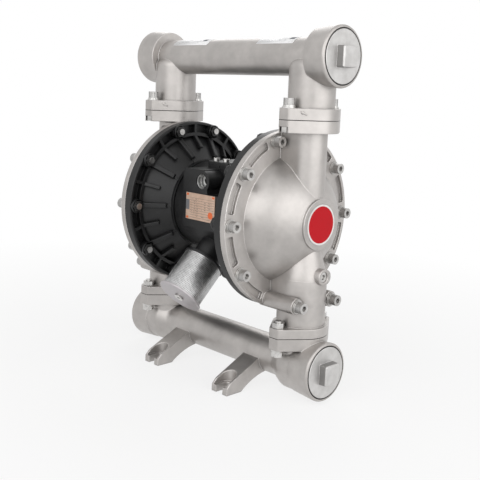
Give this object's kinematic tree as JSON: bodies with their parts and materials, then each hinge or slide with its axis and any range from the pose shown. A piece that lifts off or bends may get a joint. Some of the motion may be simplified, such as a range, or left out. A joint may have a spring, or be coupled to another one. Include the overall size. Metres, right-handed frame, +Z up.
{
  "type": "air operated diaphragm pump",
  "caption": "Air operated double diaphragm pump with cast steel liquid chambers and manifolds, black ribbed air chambers, exhaust muffler, square-head port plugs and slotted feet.",
  "frame": {"origin": "centre of the four foot slots, on the plane that the feet stand on", "axes": "+Z up, +X along the diaphragm shaft and both manifolds towards the plugged ports, -Y towards the air inlet and muffler"},
  "size_m": [0.3413, 0.2144, 0.4388],
  "materials": {
    "cast_steel": "bead-blasted casting",
    "black_casting": "satin black powder coat",
    "steel_hardware": "bright stainless",
    "plug_steel": "cast and turned",
    "machined_steel": "turned",
    "valve_ball": "smooth white",
    "rubber": "moulded",
    "muffler_metal": "perforated sheet",
    "muffler_felt": "felt",
    "black_plastic": "moulded",
    "bush_plastic": "turned",
    "plate_metal": "etched",
    "badge_red": "domed gloss",
    "label_white": "paper label"
  },
  "bodies": {
    "pump_body": {"centre_body": "black_casting", "centre_gaskets": "rubber", "chamber_bolts": "steel_hardware", "chamber_nuts": "steel_hardware", "chamber_spring_washers": "steel_hardware", "chamber_washers": "steel_hardware", "discharge_flange_bolts": "steel_hardware", "discharge_flange_nuts": "steel_hardware", "discharge_flange_washers": "steel_hardware", "discharge_manifold": "cast_steel", "discharge_plug": "plug_steel", "drain_plugs": "steel_hardware", "left_air_chamber": "black_casting", "left_badge": "badge_red", "left_diaphragm": "rubber", "left_outer_chamber": "cast_steel", "long_chamber_bolts": "steel_hardware", "muffler_cap": "muffler_metal", "muffler_core": "muffler_felt", "muffler_nipple": "black_plastic", "muffler_ring": "muffler_metal", "muffler_shell": "muffler_metal", "muffler_tie_screw": "steel_hardware", "name_plate": "plate_metal", "right_air_chamber": "black_casting", "right_badge": "badge_red", "right_diaphragm": "rubber", "right_outer_chamber": "cast_steel", "seat_rings": "rubber", "shaft_bushes": "bush_plastic", "shaft_seals": "rubber", "suction_flange_bolts": "steel_hardware", "suction_flange_nuts": "steel_hardware", "suction_flange_washers": "steel_hardware", "suction_manifold": "cast_steel", "suction_plug": "plug_steel", "valve_cover": "black_casting", "valve_cover_screws": "steel_hardware", "valve_end_caps": "machined_steel", "valve_seats": "machined_steel", "valve_sleeve": "machined_steel"},
    "shaft": {"diaphragm_shaft": "machined_steel", "left_inner_plate": "machined_steel", "right_inner_plate": "machined_steel", "left_outer_plate": "machined_steel", "right_outer_plate": "machined_steel", "plate_bolts": "machined_steel"},
    "spool": {"valve_spool": "machined_steel", "spool_seals": "rubber"},
    "pilot": {"pilot_rod": "machined_steel"},
    "left_discharge_ball": {"left_discharge_ball": "valve_ball"},
    "right_discharge_ball": {"right_discharge_ball": "valve_ball"},
    "left_suction_ball": {"left_suction_ball": "valve_ball"},
    "right_suction_ball": {"right_suction_ball": "valve_ball"}
  },
  "joints": [
    {"name": "shaft_stroke", "type": "slide", "parent": "pump_body", "child": "shaft", "axis": [1, 0, 0], "range_m": [-0.01, 0.01], "deforming": ["left_diaphragm", "right_diaphragm"]},
    {"name": "spool_shift", "type": "slide", "parent": "pump_body", "child": "spool", "axis": [1, 0, 0], "range_m": [-0.006, 0.006]},
    {"name": "pilot_slide", "type": "slide", "parent": "pump_body", "child": "pilot", "axis": [1, 0, 0], "range_m": [-0.003, 0.003]},
    {"name": "left_discharge_lift", "type": "slide", "parent": "pump_body", "child": "left_discharge_ball", "axis": [0, 0, 1], "range_m": [0, 0.008]},
    {"name": "right_discharge_lift", "type": "slide", "parent": "pump_body", "child": "right_discharge_ball", "axis": [0, 0, 1], "range_m": [0, 0.008]},
    {"name": "left_suction_lift", "type": "slide", "parent": "pump_body", "child": "left_suction_ball", "axis": [0, 0, 1], "range_m": [0, 0.008]},
    {"name": "right_suction_lift", "type": "slide", "parent": "pump_body", "child": "right_suction_ball", "axis": [0, 0, 1], "range_m": [0, 0.008]}
  ],
  "couplings": [
    {"joint": "pilot_slide", "follows": "shaft_stroke", "ratio": 0.3}
  ]
}
